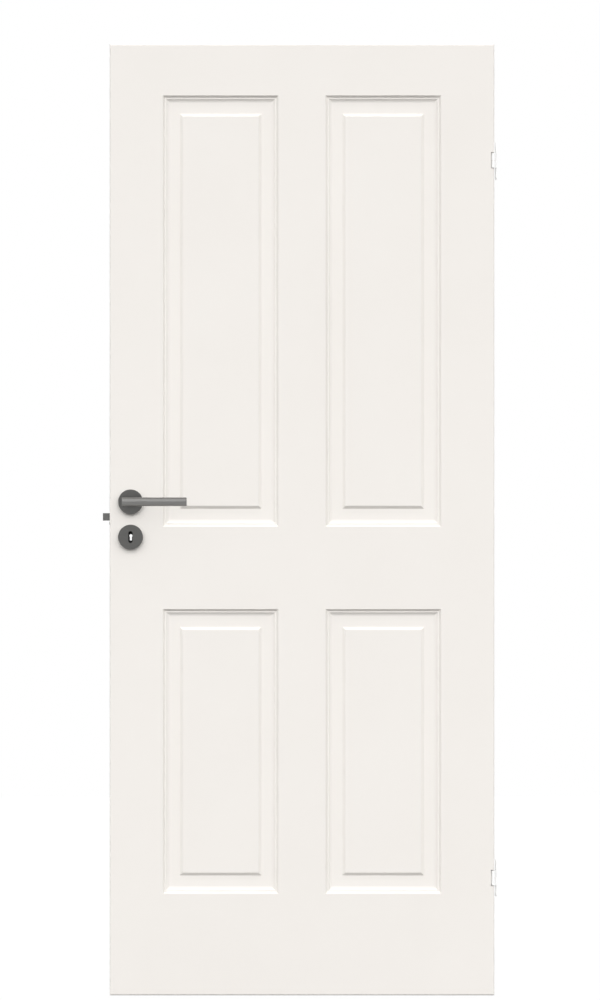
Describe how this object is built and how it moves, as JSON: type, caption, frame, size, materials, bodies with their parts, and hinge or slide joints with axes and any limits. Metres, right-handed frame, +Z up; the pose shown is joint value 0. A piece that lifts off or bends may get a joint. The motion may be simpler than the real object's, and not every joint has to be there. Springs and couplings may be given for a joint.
{
  "type": "panelled door",
  "caption": "White moulded panelled door leaf with round-bar lever handles, mortise lock with latch and deadbolt, key escutcheons and lift-off hinges.",
  "frame": {"origin": "middle of the leaf's bottom edge, at half its thickness", "axes": "+X from the lock edge to the hinge edge, +Y from the side it opens towards to the far side, +Z up"},
  "size_m": [0.8455, 0.1546, 2.04],
  "materials": {
    "leaf_paint": "satin warm-white paint on moulded hardboard",
    "painted_timber": "satin warm-white paint on timber edges",
    "core_board": "raw chipboard",
    "handle_steel": "satin brushed stainless steel",
    "lock_steel": "zinc-plated steel",
    "bolt_steel": "nickel-plated satin steel",
    "spring_steel": "blued spring steel",
    "hinge_zinc": "bright zinc-plated steel",
    "nylon": "black moulded nylon"
  },
  "bodies": {
    "jamb_side": {"upper_jamb_hinge": "hinge_zinc", "lower_jamb_hinge": "hinge_zinc", "upper_hinge_pin": "hinge_zinc", "lower_hinge_pin": "hinge_zinc", "hinge_bearing_rings": "nylon"},
    "leaf": {"front_skin": "leaf_paint", "rear_skin": "leaf_paint", "lock_stile": "painted_timber", "hinge_stile": "painted_timber", "top_rail": "painted_timber", "bottom_rail": "painted_timber", "core_board": "core_board", "lock_case": "lock_steel", "lock_case_cover": "lock_steel", "case_screws": "lock_steel", "lock_faceplate": "lock_steel", "faceplate_screws": "lock_steel", "latch_spring": "spring_steel", "follower_spring": "spring_steel", "front_rose_cover": "handle_steel", "rear_rose_cover": "handle_steel", "front_rose_base": "nylon", "rear_rose_base": "nylon", "rose_screws": "lock_steel", "front_key_escutcheon": "handle_steel", "rear_key_escutcheon": "handle_steel", "front_key_base": "nylon", "rear_key_base": "nylon", "key_escutcheon_screws": "lock_steel", "leaf_hinge_screws": "hinge_zinc", "upper_leaf_hinge": "hinge_zinc", "lower_leaf_hinge": "hinge_zinc"},
    "lever_set": {"front_lever": "handle_steel", "rear_lever": "handle_steel", "lever_grub_screws": "lock_steel", "spindle": "lock_steel", "follower": "lock_steel"},
    "latch": {"latch_bolt": "bolt_steel"},
    "bolt": {"deadbolt": "bolt_steel"}
  },
  "joints": [
    {"name": "leaf_swing", "type": "hinge", "parent": "jamb_side", "child": "leaf", "pos_m": [0.4109, -0.017, 1.02115], "axis": [0, 0, 1], "range_deg": [0, 110]},
    {"name": "lever_turn", "type": "hinge", "parent": "leaf", "child": "lever_set", "pos_m": [-0.3675, 0, 1.0585], "axis": [0, 1, 0], "range_deg": [0, 45], "stiffness_Nm_per_rad": 1.5, "springref_deg": -28.65, "deforming": ["follower_spring"]},
    {"name": "latch_slide", "type": "slide", "parent": "leaf", "child": "latch", "axis": [1, 0, 0], "range_m": [0, 0.015], "deforming": ["latch_spring"]},
    {"name": "deadbolt_slide", "type": "slide", "parent": "leaf", "child": "bolt", "axis": [-1, 0, 0], "range_m": [0, 0.01]}
  ],
  "couplings": [
    {"joint": "latch_slide", "follows": "lever_turn", "m_per_rad": 0.019}
  ]
}
